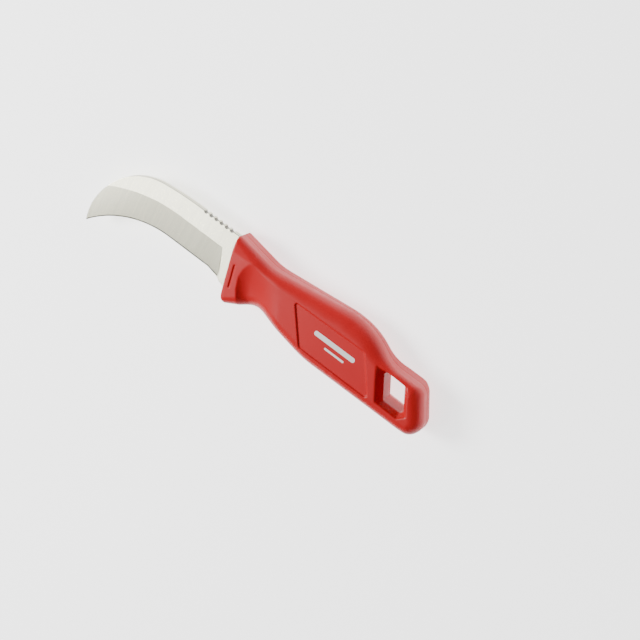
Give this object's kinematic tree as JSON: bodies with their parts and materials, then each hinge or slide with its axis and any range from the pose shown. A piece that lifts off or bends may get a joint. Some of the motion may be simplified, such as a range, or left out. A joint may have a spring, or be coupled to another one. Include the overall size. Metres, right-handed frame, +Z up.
{
  "type": "hook knife",
  "caption": "Fixed-blade hook knife: hawkbill steel blade with thumb notches and tang, moulded around it a red plastic handle with guard, finger scoops and lanyard hole.",
  "frame": {"origin": "on the flat of the handle's lower side face, between the finger scoop and the label panel; the knife rests on this face", "axes": "+X from the tip to the butt, +Y to the spine, +Z up through the thickness; the cutting edge faces -Y"},
  "size_m": [0.2113, 0.0495, 0.02],
  "materials": {
    "blade_steel": "satin ground, grain across the blade",
    "handle_plastic": "moulded, semi-gloss red with a fine texture",
    "mark_paint": null
  },
  "bodies": {
    "root": {"blade": "blade_steel", "handle": "handle_plastic"}
  },
  "joints": []
}
